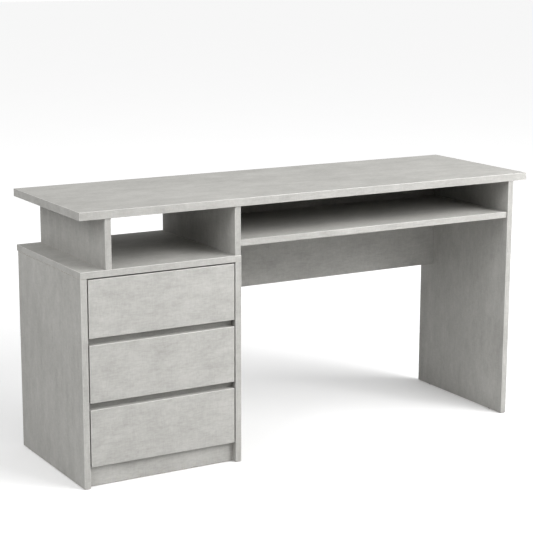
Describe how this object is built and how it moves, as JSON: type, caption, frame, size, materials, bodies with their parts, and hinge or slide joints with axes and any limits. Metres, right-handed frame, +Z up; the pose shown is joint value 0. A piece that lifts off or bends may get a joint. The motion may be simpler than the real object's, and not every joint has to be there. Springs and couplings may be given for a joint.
{
  "type": "writing desk with drawers",
  "caption": "Writing desk with a drawer cabinet on the left, an open pigeonhole under a raised worktop, a fixed keyboard shelf, a modesty panel and a panel leg.",
  "frame": {"origin": "on the floor under the middle of the worktop (bounding box bottom centre)", "axes": "+X to the sitter's right along the worktop, +Y from the drawer fronts to the back, +Z up"},
  "size_m": [1.465, 0.46, 0.75],
  "materials": {
    "grey_melamine": "light grey concrete-effect melamine on particle board, with matching edge bands",
    "box_melamine": "plain light grey melamine on particle board",
    "hardboard": "thin hardboard, light grey on the inner face",
    "runner_steel": "folded steel with pale epoxy coating",
    "roller_nylon": "off-white nylon",
    "cam_zinc": "bare die-cast zinc",
    "fastener_steel": "bright zinc-plated steel",
    "beech": "fluted beech dowel",
    "cap_plastic": "plastic cap in the board colour",
    "glide_plastic": "dark grey plastic glide"
  },
  "bodies": {
    "desk": {"worktop": "grey_melamine", "riser_left": "grey_melamine", "riser_right": "grey_melamine", "leg_panel": "grey_melamine", "keyboard_shelf": "grey_melamine", "modesty_panel": "grey_melamine", "cabinet_top": "grey_melamine", "cabinet_side_left": "grey_melamine", "cabinet_side_right": "grey_melamine", "cabinet_bottom": "grey_melamine", "plinth": "grey_melamine", "rail_upper": "grey_melamine", "rail_lower": "grey_melamine", "cabinet_back": "hardboard", "glides": "glide_plastic", "cam_locks": "cam_zinc", "cam_bolts": "fastener_steel", "dowels": "beech", "assembly_screws": "fastener_steel", "runner_screws": "fastener_steel", "cover_caps": "cap_plastic", "drawer_1_cabinet_member_left": "runner_steel", "drawer_1_cabinet_member_right": "runner_steel", "drawer_2_cabinet_member_left": "runner_steel", "drawer_2_cabinet_member_right": "runner_steel", "drawer_3_cabinet_member_left": "runner_steel", "drawer_3_cabinet_member_right": "runner_steel"},
    "drawer_1": {"drawer_1_front": "grey_melamine", "drawer_1_side_left": "box_melamine", "drawer_1_side_right": "box_melamine", "drawer_1_back": "box_melamine", "drawer_1_bottom": "hardboard", "drawer_1_drawer_member_left": "runner_steel", "drawer_1_drawer_member_right": "runner_steel", "drawer_1_cam_locks": "cam_zinc", "drawer_1_screws": "fastener_steel"},
    "drawer_1_front_rollers": {"drawer_1_front_rollers": "roller_nylon"},
    "drawer_1_rear_rollers": {"drawer_1_rear_rollers": "roller_nylon"},
    "drawer_2": {"drawer_2_front": "grey_melamine", "drawer_2_side_left": "box_melamine", "drawer_2_side_right": "box_melamine", "drawer_2_back": "box_melamine", "drawer_2_bottom": "hardboard", "drawer_2_drawer_member_left": "runner_steel", "drawer_2_drawer_member_right": "runner_steel", "drawer_2_cam_locks": "cam_zinc", "drawer_2_screws": "fastener_steel"},
    "drawer_2_front_rollers": {"drawer_2_front_rollers": "roller_nylon"},
    "drawer_2_rear_rollers": {"drawer_2_rear_rollers": "roller_nylon"},
    "drawer_3": {"drawer_3_front": "grey_melamine", "drawer_3_side_left": "box_melamine", "drawer_3_side_right": "box_melamine", "drawer_3_back": "box_melamine", "drawer_3_bottom": "hardboard", "drawer_3_drawer_member_left": "runner_steel", "drawer_3_drawer_member_right": "runner_steel", "drawer_3_cam_locks": "cam_zinc", "drawer_3_screws": "fastener_steel"},
    "drawer_3_front_rollers": {"drawer_3_front_rollers": "roller_nylon"},
    "drawer_3_rear_rollers": {"drawer_3_rear_rollers": "roller_nylon"}
  },
  "joints": [
    {"name": "drawer_1_slide", "type": "slide", "parent": "desk", "child": "drawer_1", "axis": [0, -1, 0], "range_m": [0, 0.3]},
    {"name": "drawer_1_front_roller_spin", "type": "hinge", "parent": "desk", "child": "drawer_1_front_rollers", "pos_m": [-0.4935, -0.194, 0.44107], "axis": [1, 0, 0], "continuous": true},
    {"name": "drawer_1_rear_roller_spin", "type": "hinge", "parent": "drawer_1", "child": "drawer_1_rear_rollers", "pos_m": [-0.4935, 0.1805, 0.44067], "axis": [1, 0, 0], "continuous": true},
    {"name": "drawer_2_slide", "type": "slide", "parent": "desk", "child": "drawer_2", "axis": [0, -1, 0], "range_m": [0, 0.3]},
    {"name": "drawer_2_front_roller_spin", "type": "hinge", "parent": "desk", "child": "drawer_2_front_rollers", "pos_m": [-0.4935, -0.194, 0.26473], "axis": [1, 0, 0], "continuous": true},
    {"name": "drawer_2_rear_roller_spin", "type": "hinge", "parent": "drawer_2", "child": "drawer_2_rear_rollers", "pos_m": [-0.4935, 0.1805, 0.26433], "axis": [1, 0, 0], "continuous": true},
    {"name": "drawer_3_slide", "type": "slide", "parent": "desk", "child": "drawer_3", "axis": [0, -1, 0], "range_m": [0, 0.3]},
    {"name": "drawer_3_front_roller_spin", "type": "hinge", "parent": "desk", "child": "drawer_3_front_rollers", "pos_m": [-0.4935, -0.194, 0.0884], "axis": [1, 0, 0], "continuous": true},
    {"name": "drawer_3_rear_roller_spin", "type": "hinge", "parent": "drawer_3", "child": "drawer_3_rear_rollers", "pos_m": [-0.4935, 0.1805, 0.088], "axis": [1, 0, 0], "continuous": true}
  ],
  "couplings": [
    {"joint": "drawer_1_front_roller_spin", "follows": "drawer_1_slide", "rad_per_m": 125},
    {"joint": "drawer_1_rear_roller_spin", "follows": "drawer_1_slide", "rad_per_m": 125},
    {"joint": "drawer_2_front_roller_spin", "follows": "drawer_2_slide", "rad_per_m": 125},
    {"joint": "drawer_2_rear_roller_spin", "follows": "drawer_2_slide", "rad_per_m": 125},
    {"joint": "drawer_3_front_roller_spin", "follows": "drawer_3_slide", "rad_per_m": 125},
    {"joint": "drawer_3_rear_roller_spin", "follows": "drawer_3_slide", "rad_per_m": 125}
  ]
}
